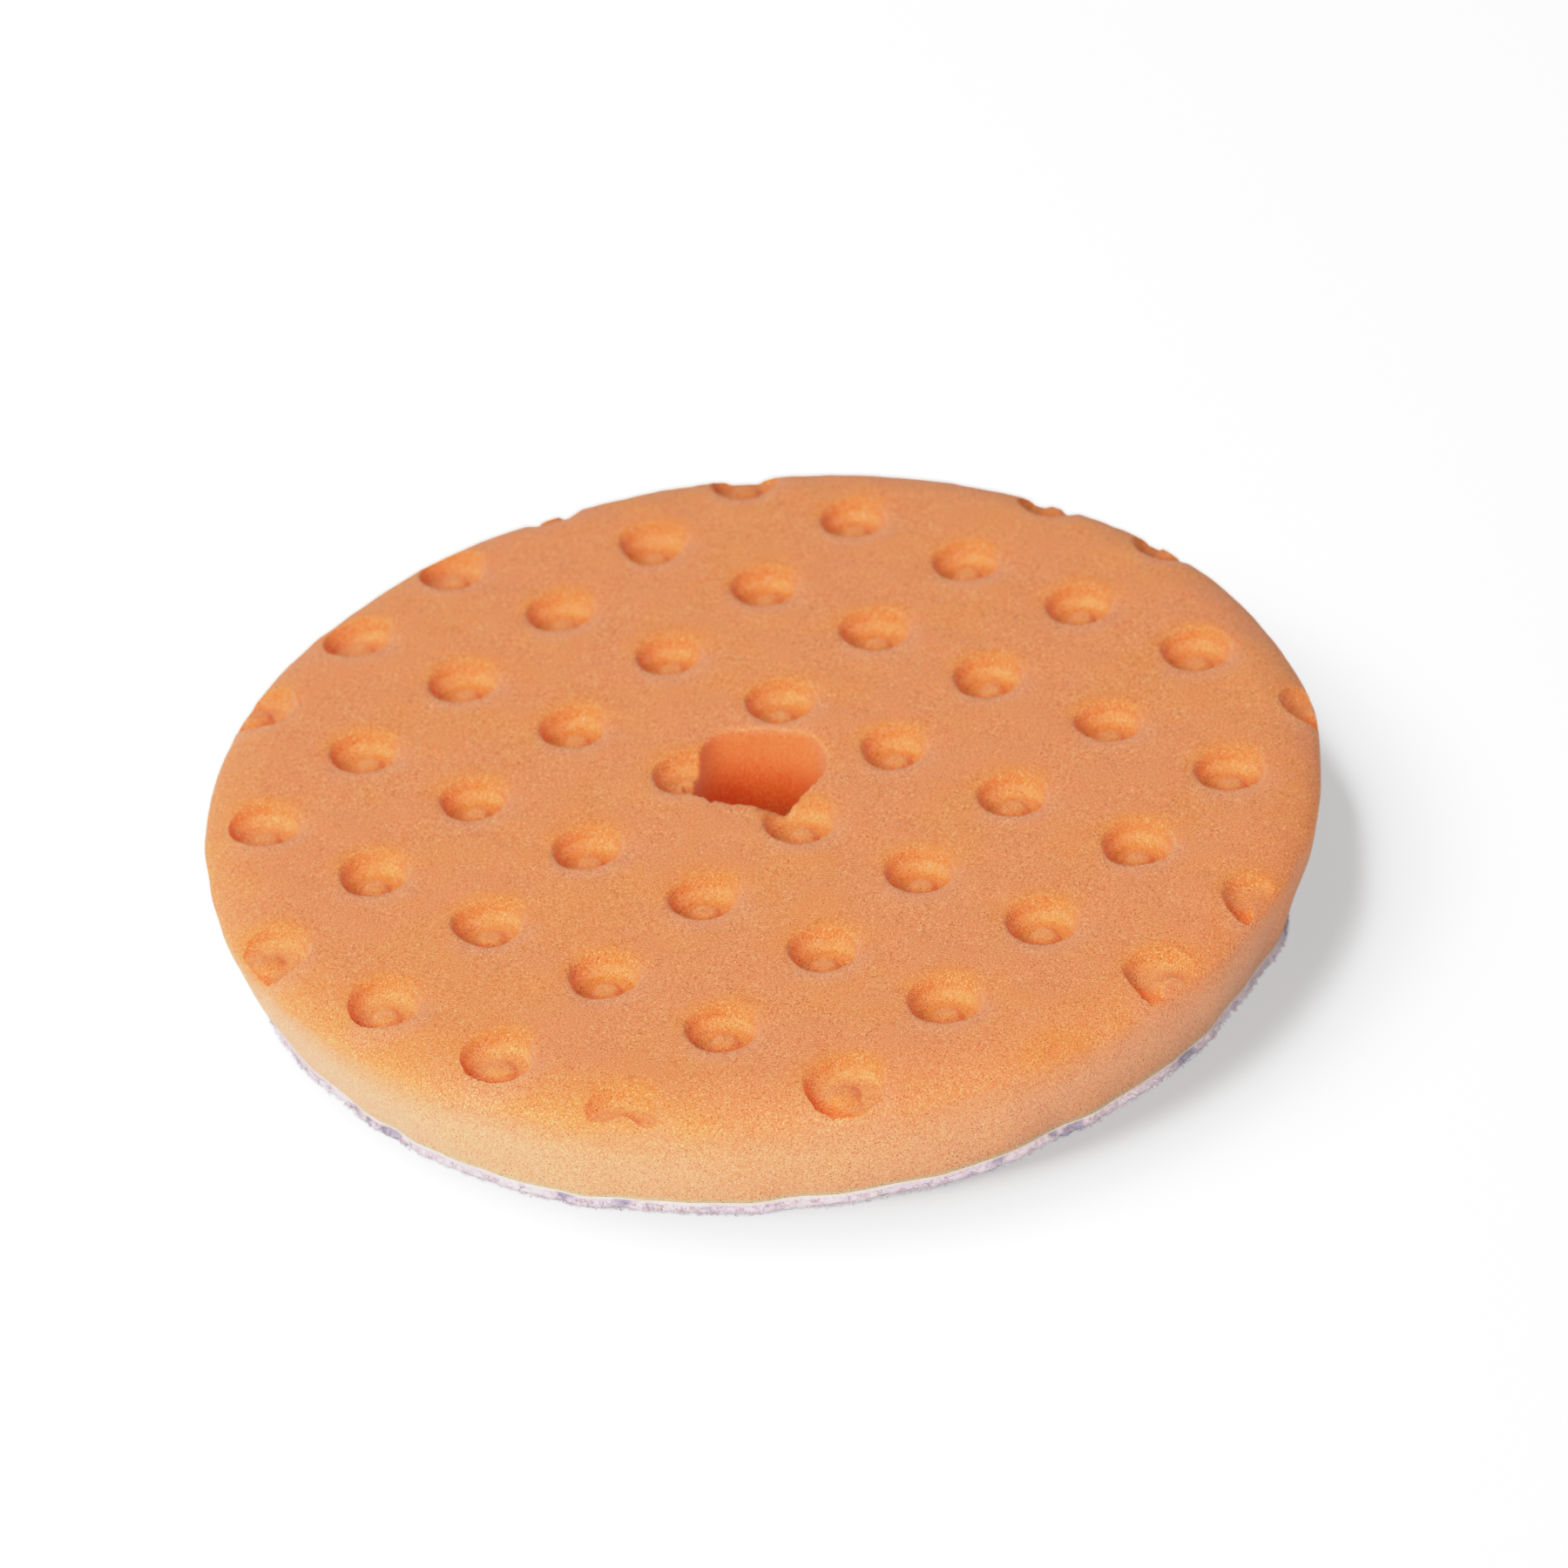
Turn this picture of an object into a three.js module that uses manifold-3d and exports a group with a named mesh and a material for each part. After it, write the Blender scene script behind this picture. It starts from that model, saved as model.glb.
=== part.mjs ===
// A low-profile foam polishing pad, 165 mm across, lying with its working face up.
// Millimetres, +Z up. The origin is the centre of the loop pile's underside, which is the face
// that a machine's hook-faced backing plate grips.

import * as THREE from "three";
import { mergeVertices } from "three/addons/utils/BufferGeometryUtils.js";
import Module from "manifold-3d";

// The pad's plan.
const PAD_RADIUS = 82.5; // the foam at its widest, 6.5 in across
const BACKING_RADIUS = 77.25; // the backing, and the foam's lower face that it is bonded to
const HOLE_RADIUS = 9.95; // the centring hole, which passes through every layer
const ROUND_SEGMENTS = 96;

// The layers, from the bottom up.
const PILE_HEIGHT = 1.375;
const CLOTH_THICKNESS = 0.5;
const FILM_THICKNESS = 0.25;
const FOAM_THICKNESS = 19.875;

// The foam's edge: it leans out to its widest point, then rolls over in a quarter ellipse.
const SHOULDER_WIDTH = 9.2;
const SHOULDER_HEIGHT = 4;
const SHOULDER_STEPS = 6;

// The pockets: round dents in a square grid, each with a button standing on its floor.
const POCKET_PITCH = 22.1;
const POCKET_TURN = THREE.MathUtils.degToRad(-43.3); // the grid's first direction, from +X
const POCKET_START = new THREE.Vector2(-25.85, -16.3); // the pocket that places the grid
const POCKET_RADIUS = 7.2; // where the funnel round the mouth meets the flat face
const MOUTH_RADIUS = 5;
const MOUTH_DEPTH = 0.6;
const FLOOR_RADIUS = 4.15;
const POCKET_DEPTH = 3.65; // at the floor
const BUTTON_FOOT = 2;
const BUTTON_RADIUS = 1.6;
const BUTTON_HEIGHT = 1.3;
const POCKET_SEGMENTS = 12;
const CUTTER_LIFT = 1; // how far a pocket's cutter stands above the face
const CUTTER_FLARE = 0.3; // how much wider than the pocket the cutter is up there

// Heights worked out from the layers.
const CLOTH_BOTTOM = PILE_HEIGHT;
const FILM_BOTTOM = CLOTH_BOTTOM + CLOTH_THICKNESS;
const FOAM_BOTTOM = FILM_BOTTOM + FILM_THICKNESS;
const FACE_HEIGHT = FOAM_BOTTOM + FOAM_THICKNESS;

const wasm = await Module();
wasm.setup();

// Turns a profile, drawn as radius and height, about +Z.
function turned(profile, segments) {
  const points = profile.map(([radius, height]) => new THREE.Vector2(radius, height));
  return new THREE.LatheGeometry(points, segments).rotateX(Math.PI / 2);
}

// A flat ring with the centring hole, between two heights.
function ring(bottom, top) {
  const profile = [
    [HOLE_RADIUS, bottom],
    [BACKING_RADIUS, bottom],
    [BACKING_RADIUS, top],
    [HOLE_RADIUS, top],
    [HOLE_RADIUS, bottom],
  ];
  return turned(profile, ROUND_SEGMENTS);
}

function toSolid(geometry) {
  const bare = geometry.clone();
  bare.deleteAttribute("normal");
  bare.deleteAttribute("uv");
  const merged = mergeVertices(bare, 1e-3);
  const vertProperties = new Float32Array(merged.attributes.position.array);
  const triVerts = new Uint32Array(merged.index.array);
  return new wasm.Manifold(new wasm.Mesh({ numProp: 3, vertProperties, triVerts }));
}

function toGeometry(solid) {
  const mesh = solid.getMesh();
  const geometry = new THREE.BufferGeometry();
  geometry.setAttribute("position", new THREE.BufferAttribute(mesh.vertProperties, 3));
  geometry.setIndex(new THREE.BufferAttribute(mesh.triVerts, 1));
  geometry.computeVertexNormals();
  return geometry;
}

// The foam before its pockets: a ring whose wall leans out and whose top edge is rounded.
function foamBlank() {
  const shoulder = [];
  for (let step = 0; step <= SHOULDER_STEPS; step += 1) {
    const angle = ((Math.PI / 2) * step) / SHOULDER_STEPS;
    shoulder.push([
      PAD_RADIUS - SHOULDER_WIDTH * (1 - Math.cos(angle)),
      FACE_HEIGHT - SHOULDER_HEIGHT * (1 - Math.sin(angle)),
    ]);
  }
  const profile = [
    [HOLE_RADIUS, FOAM_BOTTOM],
    [BACKING_RADIUS, FOAM_BOTTOM],
    ...shoulder,
    [HOLE_RADIUS, FACE_HEIGHT],
    [HOLE_RADIUS, FOAM_BOTTOM],
  ];
  return turned(profile, ROUND_SEGMENTS);
}

// What one pocket takes out of the foam: a shallow funnel, a steep wall and a flat floor with a
// button standing on it.
function pocketCutter() {
  const funnelMiddle = (POCKET_RADIUS + MOUTH_RADIUS) / 2;
  const profile = [
    [0, FACE_HEIGHT - POCKET_DEPTH + BUTTON_HEIGHT],
    [BUTTON_RADIUS, FACE_HEIGHT - POCKET_DEPTH + BUTTON_HEIGHT],
    [BUTTON_FOOT, FACE_HEIGHT - POCKET_DEPTH],
    [FLOOR_RADIUS, FACE_HEIGHT - POCKET_DEPTH],
    [MOUTH_RADIUS, FACE_HEIGHT - MOUTH_DEPTH],
    [funnelMiddle, FACE_HEIGHT - MOUTH_DEPTH / 4],
    [POCKET_RADIUS, FACE_HEIGHT],
    [POCKET_RADIUS + CUTTER_FLARE, FACE_HEIGHT + CUTTER_FLARE],
    [POCKET_RADIUS + CUTTER_FLARE, FACE_HEIGHT + CUTTER_LIFT],
    [0, FACE_HEIGHT + CUTTER_LIFT],
  ];
  return turned(profile, POCKET_SEGMENTS);
}

// The centres of every pocket that reaches the foam, whole or cut through by its edge.
function pocketCentres() {
  const first = new THREE.Vector2(POCKET_PITCH, 0).rotateAround(new THREE.Vector2(), POCKET_TURN);
  const second = new THREE.Vector2(-first.y, first.x);
  const reach = Math.ceil((2 * PAD_RADIUS) / POCKET_PITCH);
  const centres = [];
  for (let row = -reach; row <= reach; row += 1) {
    for (let column = -reach; column <= reach; column += 1) {
      const centre = POCKET_START.clone().addScaledVector(first, column).addScaledVector(second, row);
      if (centre.length() < PAD_RADIUS + POCKET_RADIUS) centres.push(centre);
    }
  }
  return centres;
}

function foamDisc() {
  const cutter = toSolid(pocketCutter());
  let foam = toSolid(foamBlank());
  for (const centre of pocketCentres()) {
    foam = foam.subtract(cutter.translate([centre.x, centre.y, 0]));
  }
  return toGeometry(foam);
}

function piece(name, geometry, color, roughness) {
  const material = new THREE.MeshStandardMaterial({ color, roughness, metalness: 0 });
  const mesh = new THREE.Mesh(geometry, material);
  mesh.name = name;
  return mesh;
}

const pad = new THREE.Group();
pad.add(
  piece("loop_pile", ring(0, CLOTH_BOTTOM), 0xe2d3d6, 0.95),
  piece("backing_cloth", ring(CLOTH_BOTTOM, FILM_BOTTOM), 0xece4e6, 0.9),
  piece("adhesive_film", ring(FILM_BOTTOM, FOAM_BOTTOM), 0xf6dfc6, 0.5),
  piece("foam_disc", foamDisc(), 0xe89a60, 0.95),
);

export default pad;
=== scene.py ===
"""A foam polishing pad on a pale floor: soft foam with pressed pockets on a loop backing.

The shapes are worked out in millimetres and turned into metres when each mesh is made. A plan is an
array of x and y, and points are an array of x, y and z.
"""

import math

import bpy
import numpy as np
from mathutils import Matrix, Vector
from mathutils.geometry import delaunay_2d_cdt


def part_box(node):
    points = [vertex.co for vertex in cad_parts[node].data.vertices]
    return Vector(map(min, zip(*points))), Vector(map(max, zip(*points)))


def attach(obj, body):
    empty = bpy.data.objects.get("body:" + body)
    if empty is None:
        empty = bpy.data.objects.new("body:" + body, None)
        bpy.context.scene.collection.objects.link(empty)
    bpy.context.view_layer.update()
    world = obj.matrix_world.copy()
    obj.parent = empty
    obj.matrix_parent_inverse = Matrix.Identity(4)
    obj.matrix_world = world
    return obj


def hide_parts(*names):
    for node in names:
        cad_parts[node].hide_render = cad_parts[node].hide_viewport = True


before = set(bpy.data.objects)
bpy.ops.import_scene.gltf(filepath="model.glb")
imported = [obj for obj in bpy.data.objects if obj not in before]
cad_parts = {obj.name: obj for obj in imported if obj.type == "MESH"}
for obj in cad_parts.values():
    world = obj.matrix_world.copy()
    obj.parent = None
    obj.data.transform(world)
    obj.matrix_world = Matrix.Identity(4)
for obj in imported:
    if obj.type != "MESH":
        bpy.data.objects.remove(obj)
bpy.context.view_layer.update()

MM = 0.001
SEED = 20

# The layers' places, from the CAD frame.
PILE_BOTTOM, PILE_TOP = (corner.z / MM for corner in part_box("loop_pile"))
CLOTH_BOTTOM, CLOTH_TOP = (corner.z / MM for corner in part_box("backing_cloth"))
FILM_BOTTOM, FILM_TOP = (corner.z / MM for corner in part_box("adhesive_film"))
FOAM_BOTTOM, FACE_HEIGHT = (corner.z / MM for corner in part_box("foam_disc"))
PAD_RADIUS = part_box("foam_disc")[1].x / MM
BACKING_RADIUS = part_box("loop_pile")[1].x / MM
HOLE_RADIUS = min(v.co.xy.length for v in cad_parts["loop_pile"].data.vertices) / MM

# The foam's rounded edge and leaning side.
SHOULDER_WIDTH = 9.2
SHOULDER_HEIGHT = 4.0
SHOULDER_ARC = 10.6  # about how far it is over the rounded edge, along the surface
FLAT_RADIUS = PAD_RADIUS - SHOULDER_WIDTH
BELLY_HEIGHT = FACE_HEIGHT - SHOULDER_HEIGHT  # where the foam is widest
UNROLLED_RADIUS = FLAT_RADIUS + SHOULDER_ARC
SIDE_BELLY = 1.3  # above 1, the side leans in more the lower it gets
HOLE_LIP = 0.45  # the rounding of the hole's top edge

# The pocket grid.
POCKET_PITCH = 22.1
POCKET_TURN = math.radians(-43.3)  # the grid's first direction, from +X
POCKET_START = (-25.85, -16.3)  # the pocket that places the grid

# One pocket: a shallow funnel, a wall with a ledge, and a floor with a button.
POCKET_RADIUS = 7.2  # where the funnel meets the flat face
FUNNEL_DEPTH = 0.35
WALL_TOP_RADIUS = 5.35
WALL_LEAN = 0.85  # how far the wall leans back on its far side
WALL_LEAN_START = 0.1  # above 0, the lean also takes in a little of the near side
WALL_LEAN_TURN = math.radians(12)  # the side that leans back, from +Y
LEDGE_START, LEDGE_END = 0.6, 0.8  # shares of the wall's width
LEDGE_DROP = 0.66  # the share of the wall's height that is above the ledge
LEDGE_FALL = 0.1  # the share of it that the ledge itself falls
FLOOR_RADIUS = 4.15
POCKET_DEPTH = 3.65  # at the floor
BUTTON_RADIUS = 2.25
BUTTON_HEIGHT = 1.3
BUTTON_SHARPNESS = 4.5  # the higher, the flatter the button's top and the steeper its side

# How the pockets vary: one from the next, and towards the rim.
CENTRE_STRAY = 0.16
SIZE_SPREAD = 0.02
LOBE_SPREAD = 0.022
LOBE_COUNTS = (2, 3)
DEPTH_SPREAD = 0.04
BUTTON_STRAY = 0.14
OUTER_START = 68.0  # pockets further out than this are wider, and shallower on the -Y side
OUTER_SWELL = 0.12
NEAR_SHALLOW_SHARE = 0.2
FAR_SHALLOW_SHARE = -0.04
DEEPEST_SHARE = 1.04

# Where the thin foam between the hole and a pocket has given way.
TEAR_DIRECTION = math.radians(-73)
TEAR_SPREAD = math.radians(27)
TEAR_SHARPNESS = 1.3
TEAR_DEPTH = 3.0
TEAR_REACH = 12.4
TEAR_FADE = 1.2

# The straight cut that joins the hole to the pocket beside it: its outward normal and distance.
CORNER_NORMAL = (-0.546, -0.837)
CORNER_DISTANCE = 10.4
CORNER_SLOPE = 0.5
CORNER_DEPTH = 3.3
CORNER_END = -5.6

# Unevenness, as tables of ripples: how far each strays, its wavelength and its stretch up the side.
EDGE_WAVES = ((0.14, 26, 0.3), (0.04, 8, 0.5))
FOOT_WAVES = ((0.2, 26, 0.3), (0.1, 8, 0.5))  # added towards the foot, where the layers were cut
HOLE_WAVES = ((0.1, 1.4, 1), (0.1, 5, 0.4))
SWELL_WAVES = ((0.05, 9, 1), (0.025, 2.4, 1))
NICK_WAVES = ((0.12, 1.1, 1),)
PILE_WAVES = ((0.08, 1.6, 1), (0.08, 4.5, 1))
TUFT_WAVES = ((0.12, 1.9, 1), (0.08, 5, 1))
EDGE_SEED, HOLE_SEED, SWELL_SEED, NICK_SEED, PILE_SEED, TUFT_SEED = (SEED + k for k in (1, 3, 5, 7, 8, 10))
WAVE_SPREAD = (0.7, 1.5)  # a ripple's waves are this many times its wavelength

# Where the unevenness fades in.
RIM_BLEND = (FLAT_RADIUS - 6, FLAT_RADIUS + 2)
BACKING_BLEND = 3
RAGGED_REACH = 1.2
RAGGED_FAR_SHARE = 0.3  # the hole's far side is cut more cleanly
RAGGED_TURNOVER = 6
SWELL_BLEND = 3
TUFT_LIFT = 0.2
TUFT_LIMIT = 0.6

# Where the hole's edge was pulled as it was cut: direction, half-width in degrees and outward stray.
HOLE_PULLS = ((72, 24, -0.5), (124, 16, 0.75), (36, 16, 0.35), (-4, 14, 0.2), (166, 14, -0.5))
PULL_REACH = 2.5
PULL_HEIGHTS = (BELLY_HEIGHT - 6, BELLY_HEIGHT + 3)

# How finely the pad is meshed.
RIM_COLUMNS = 720
HOLE_COLUMNS = 260
LIP_RINGS = (0.12, 0.35, 0.7, 1.1)  # shares of the lip
BUTTON_RINGS = np.linspace(0.4, 1.05, 5)  # shares of the button's radius
FLOOR_RINGS = np.linspace(BUTTON_RADIUS + 0.45, FLOOR_RADIUS - 0.3, 3)
WALL_RINGS = (-0.04, 0.04, 0.14, 0.27, 0.4, 0.51, 0.57, 0.61, 0.7, 0.8, 0.87, 0.94, 1.02)
FUNNEL_RINGS = (0, 0.3, 0.6, 0.85)
FUNNEL_MARGIN = 0.1
WALL_STEP = 0.5
FLOOR_STEP = 0.62
FLAT_STEP = 1.3
SHOULDER_STEP = 0.78
PILE_STEP = 1.1
SIDE_ROWS = 16
HOLE_ROWS = 20
LAYER_ROWS = 4
CUT_STEPS = 90
CUT_DIRECTIONS = 170
CUT_GAP = 0.2  # the closest that two points of a rim cut come
POINT_GAP = 0.12  # the closest that any two points come
FLAT_GAP = 1
BAND_OVERLAP = 0.6
BAND_GAP = 0.3
RIM_GAP = 0.25
RING_GAP = 2 * HOLE_LIP
LIP_GAP = 1.3 * HOLE_LIP
CUT_MARGIN = 0.02
PILE_GAP = 0.8
WELD_PER_MM = 1000
CREASE_DEGREES = 50

# Where the foam's colours, and the light, sheen and shade painted into them, go.
GLOW_TOWARDS = (-0.2, 0.98)
LIT_TOWARDS = (0.66, 0.75)
GLOW_FADE = 2.4
RIM_PAINT_FADE = 8
RIM_PAINT_LOSS = 0.35  # pockets cut by the rim get less painted light and shade, most of all on the far side
FAR_PAINT_LOSS = 0.4
FAR_PAINT_FADE = 40
SIDE_PAINT_HEIGHTS = (BELLY_HEIGHT + 3, BELLY_HEIGHT - 7)
SIDE_PAINT_RADIUS = FLAT_RADIUS - 6
BORE_PAINT_DEPTH = 14
PAINT_MARGIN = 0.1


# ---------------------------------------------------------------- numbers

def ramp(value, start, end):
    """0 at the start and beyond it, 1 at the end and beyond it, and even in between."""
    return np.clip((value - start) / (end - start), 0, 1)


def smooth(share):
    share = np.clip(share, 0, 1)
    return share * share * (3 - 2 * share)


def plan_radius(points):
    """How far each point is from the axis."""
    return np.hypot(points[:, 0], points[:, 1])


def outward(points):
    """The level direction away from the axis at each point."""
    return points * (1, 1, 0) / plan_radius(points)[:, None]


def azimuth_from(plan, direction):
    """The angle of each plan point from a direction, between -pi and pi."""
    return (np.arctan2(plan[:, 1], plan[:, 0]) - direction + math.pi) % (2 * math.pi) - math.pi


# ---------------------------------------------------------------- mesh helpers

def ripple(points, wavelength, seed, waves=16):
    """Smooth noise with a spread of 1 at each point, made of plane waves near one wavelength."""
    draw = np.random.default_rng(seed)
    total = np.zeros(len(points))
    for _ in range(waves):
        direction = draw.normal(size=3)
        direction /= np.linalg.norm(direction)
        rate = 2 * math.pi / (wavelength * draw.uniform(*WAVE_SPREAD))
        total += np.sin(points @ direction * rate + draw.uniform(0, 2 * math.pi))
    return total / math.sqrt(waves / 2)


def circle(radius, count):
    """Points of a circle in plan, anticlockwise."""
    angle = np.arange(count) * (2 * math.pi / count)
    return np.column_stack([radius * np.cos(angle), radius * np.sin(angle)])


def at_height(plan, height):
    return np.column_stack([plan, np.full(len(plan), height)])


def hexagonal(radius, step):
    """A triangular lattice of points that covers a disc."""
    rows = int(radius / (step * math.sqrt(3) / 2)) + 1
    columns = int(radius / step) + 2
    row, column = np.meshgrid(np.arange(-rows, rows + 1), np.arange(-columns, columns + 1))
    x = (column + 0.5 * (row % 2)) * step
    y = row * step * math.sqrt(3) / 2
    points = np.column_stack([x.ravel(), y.ravel()])
    return points[plan_radius(points) < radius]


def fill_ring(inner, outer, between):
    """Triangles over the ring between two loops of plan points, using the points between them."""
    plan = np.vstack([inner, outer, between])
    loops = []
    for start, count in ((0, len(inner)), (len(inner), len(outer))):
        loops += [(start + k, start + (k + 1) % count) for k in range(count)]
    made = delaunay_2d_cdt([Vector(p) for p in plan], loops, [], 0, 1e-9, False)
    points = np.array([tuple(p) for p in made[0]])
    faces = np.array([face for face in made[2] if len(face) == 3])
    middle = points[faces].mean(axis=1)
    hole = plan_radius(inner).max() * math.cos(math.pi / len(inner))
    faces = faces[plan_radius(middle) > hole]
    a, b, c = (points[faces[:, k]] for k in range(3))
    area = (b[:, 0] - a[:, 0]) * (c[:, 1] - a[:, 1]) - (b[:, 1] - a[:, 1]) * (c[:, 0] - a[:, 0])
    faces[area < 0] = faces[area < 0][:, ::-1]
    return points, faces


def wall(rows):
    """Quads between closed loops of points, each loop under the one before, facing out."""
    count = len(rows[0])
    faces = []
    for row in range(len(rows) - 1):
        for k in range(count):
            after = (k + 1) % count
            top, bottom = row * count, (row + 1) * count
            faces.append((top + k, bottom + k, bottom + after, top + after))
    return np.vstack(rows), faces


def flipped(part):
    points, faces = part
    return points, [tuple(face)[::-1] for face in faces]


def weld(parts):
    """Joins patches that share their border points into one closed mesh."""
    points = np.vstack([part[0] for part in parts])
    keys = np.round(points * WELD_PER_MM).astype(np.int64)
    _, first, where = np.unique(keys, axis=0, return_index=True, return_inverse=True)
    where = where.ravel()
    faces, start = [], 0
    for part_points, part_faces in parts:
        for face in part_faces:
            joined = [int(where[start + k]) for k in face]
            if len(set(joined)) == len(joined):
                faces.append(joined)
        start += len(part_points)
    return points[first], faces


def add_piece(name, points, faces, material, crease_degrees=CREASE_DEGREES):
    """Makes the mesh object of one piece, in metres, riding on the pad."""
    mesh = bpy.data.meshes.new(name)
    mesh.from_pydata((points * MM).tolist(), [], [list(map(int, face)) for face in faces])
    mesh.polygons.foreach_set("use_smooth", [True] * len(mesh.polygons))
    mesh.set_sharp_from_angle(angle=math.radians(crease_degrees))
    mesh.materials.append(material)
    mesh.validate()
    piece = bpy.data.objects.new(name, mesh)
    bpy.context.scene.collection.objects.link(piece)
    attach(piece, "root")
    return piece


def add_attribute(piece, name, values):
    attribute = piece.data.attributes.new(name, "FLOAT", "POINT")
    attribute.data.foreach_set("value", np.asarray(values, np.float32))


# ---------------------------------------------------------------- the pad's unevenness

def waves(points, table, seed):
    """The ripples of a table, added up."""
    total = np.zeros(len(points))
    for k, (stray, wavelength, stretch) in enumerate(table):
        total += stray * ripple(points * (1, 1, stretch), wavelength, seed + k)
    return total


def edge_wobble(points):
    """How far the die-cut edge strays outwards; most at the foot, where the layers were cut."""
    low = ramp(points[:, 2], BELLY_HEIGHT, FOAM_BOTTOM)
    return waves(points, EDGE_WAVES, EDGE_SEED) + low * waves(points, FOOT_WAVES, EDGE_SEED)


def foot_wobble(points):
    """How far the edge strays at the foot of the foam, above or below each point."""
    return edge_wobble(points * (1, 1, 0) + (0, 0, FOAM_BOTTOM))


def hole_pull(points):
    """How far the top of the hole strays outwards, where the foam was pulled as it was cut."""
    near = smooth(ramp(plan_radius(points), HOLE_RADIUS + PULL_REACH, HOLE_RADIUS))
    near *= smooth(ramp(points[:, 2], *PULL_HEIGHTS))
    stray = np.zeros(len(points))
    for direction, spread, amount in HOLE_PULLS:
        away = np.degrees(azimuth_from(points, math.radians(direction)))
        stray += amount * np.exp(-((away / spread) ** 2))
    return near * stray


def roughened(points):
    """The foam with the small unevenness of a moulded and cut sponge."""
    radius, height = plan_radius(points), points[:, 2]
    rim = ramp(radius, *RIM_BLEND)
    front = smooth(ramp(points[:, 1], RAGGED_TURNOVER, -RAGGED_TURNOVER))
    hole = ramp(radius, HOLE_RADIUS + RAGGED_REACH, HOLE_RADIUS)
    hole *= RAGGED_FAR_SHARE + (1 - RAGGED_FAR_SHARE) * front
    stray = rim * edge_wobble(points) + hole * waves(points, HOLE_WAVES, HOLE_SEED) + hole_pull(points)
    moved = points + outward(points) * stray[:, None]
    moved[:, 2] += hole * ramp(height, BELLY_HEIGHT, FACE_HEIGHT) * waves(points, NICK_WAVES, NICK_SEED)
    lifted = ramp(height, FOAM_BOTTOM, FOAM_BOTTOM + SWELL_BLEND)
    moved[:, 2] += lifted * waves(points, SWELL_WAVES, SWELL_SEED)
    return moved


# ---------------------------------------------------------------- foam

def shoulder(unrolled):
    """Radius and height of the foam's top, at a distance from the axis measured over the shoulder."""
    turn = ramp(unrolled, FLAT_RADIUS, UNROLLED_RADIUS) * (math.pi / 2)
    radius = np.minimum(unrolled, FLAT_RADIUS) + SHOULDER_WIDTH * np.sin(turn)
    height = FACE_HEIGHT - SHOULDER_HEIGHT * (1 - np.cos(turn))
    return radius, height


def unroll(plan):
    """Plan points, inside the pad, spread out so that the shoulder lies flat."""
    radius = plan_radius(plan)
    over = np.arcsin(ramp(radius, FLAT_RADIUS, PAD_RADIUS))
    unrolled = np.where(radius > FLAT_RADIUS, FLAT_RADIUS + SHOULDER_ARC * over / (math.pi / 2), radius)
    return plan * (unrolled / np.maximum(radius, 1e-9))[:, None]


def shoulder_height(radius):
    """The height of the foam's uncut top at a distance from the axis."""
    over = ramp(radius, FLAT_RADIUS, PAD_RADIUS)
    return FACE_HEIGHT - SHOULDER_HEIGHT * (1 - np.sqrt(1 - over**2))


def pocket_grid():
    """Each pocket's centre, size, outline, depth and the shift of its button, varied a little."""
    draw = np.random.default_rng(SEED)
    first = np.array([math.cos(POCKET_TURN), math.sin(POCKET_TURN)]) * POCKET_PITCH
    second = np.array([-first[1], first[0]])
    reach = math.ceil(2 * PAD_RADIUS / POCKET_PITCH)
    pockets = []
    for row in range(-reach, reach + 1):
        for column in range(-reach, reach + 1):
            centre = POCKET_START + first * column + second * row
            if np.hypot(*centre) > PAD_RADIUS + POCKET_RADIUS:
                continue
            outer = smooth(ramp(np.hypot(*centre), OUTER_START, PAD_RADIUS))
            shallow = NEAR_SHALLOW_SHARE if centre[1] < 0 else FAR_SHALLOW_SHARE
            pockets.append({
                "centre": centre + draw.normal(0, CENTRE_STRAY, 2),
                "scale": draw.normal(1, SIZE_SPREAD) * (1 + OUTER_SWELL * outer),
                "lobes": draw.normal(0, LOBE_SPREAD, 2),
                "turns": draw.uniform(0, 2 * math.pi, 2),
                "depth": min(draw.normal(1, DEPTH_SPREAD) * (1 - shallow * outer), DEEPEST_SHARE),
                "button": draw.normal(0, BUTTON_STRAY, 2),
            })
    return pockets


def wall_share(into):
    """How far down a pocket's wall has come: a steep drop, a narrow ledge and a second drop."""
    upper = 1 - np.sqrt(1 - np.clip(into / LEDGE_START, 0, 1) ** 2)
    ledge = smooth(ramp(into, LEDGE_START, LEDGE_END))
    lower = smooth(ramp(into, LEDGE_END, 1))
    return LEDGE_DROP * upper + LEDGE_FALL * ledge + (1 - LEDGE_DROP - LEDGE_FALL) * lower


def wall_top(bearing):
    """The radius where a pocket's wall starts; the wall leans back on the +Y side."""
    far = WALL_LEAN_START + (1 - WALL_LEAN_START) * np.sin(bearing - WALL_LEAN_TURN)
    return WALL_TOP_RADIUS + WALL_LEAN * smooth(far)


def pocket_depth(pocket, plan):
    """How deep a pocket is under each plan point: a funnel, a wall with a ledge, a floor and a button."""
    offset = plan - pocket["centre"]
    bearing = np.arctan2(offset[:, 1], offset[:, 0])
    lobes = zip(LOBE_COUNTS, pocket["lobes"], pocket["turns"])
    lobed = 1 + sum(size * np.cos(count * bearing + turn) for count, size, turn in lobes)
    reach = plan_radius(offset) / (pocket["scale"] * lobed)
    funnel = FUNNEL_DEPTH * ramp(reach, POCKET_RADIUS, FLOOR_RADIUS) ** 2
    dropped = wall_share(ramp(reach, wall_top(bearing), FLOOR_RADIUS))
    from_button = plan_radius(offset - pocket["button"]) / BUTTON_RADIUS
    button = BUTTON_HEIGHT * np.clip(1 - from_button**BUTTON_SHARPNESS, 0, 1)
    return pocket["depth"] * (funnel + (POCKET_DEPTH - FUNNEL_DEPTH) * dropped - button)


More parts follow.
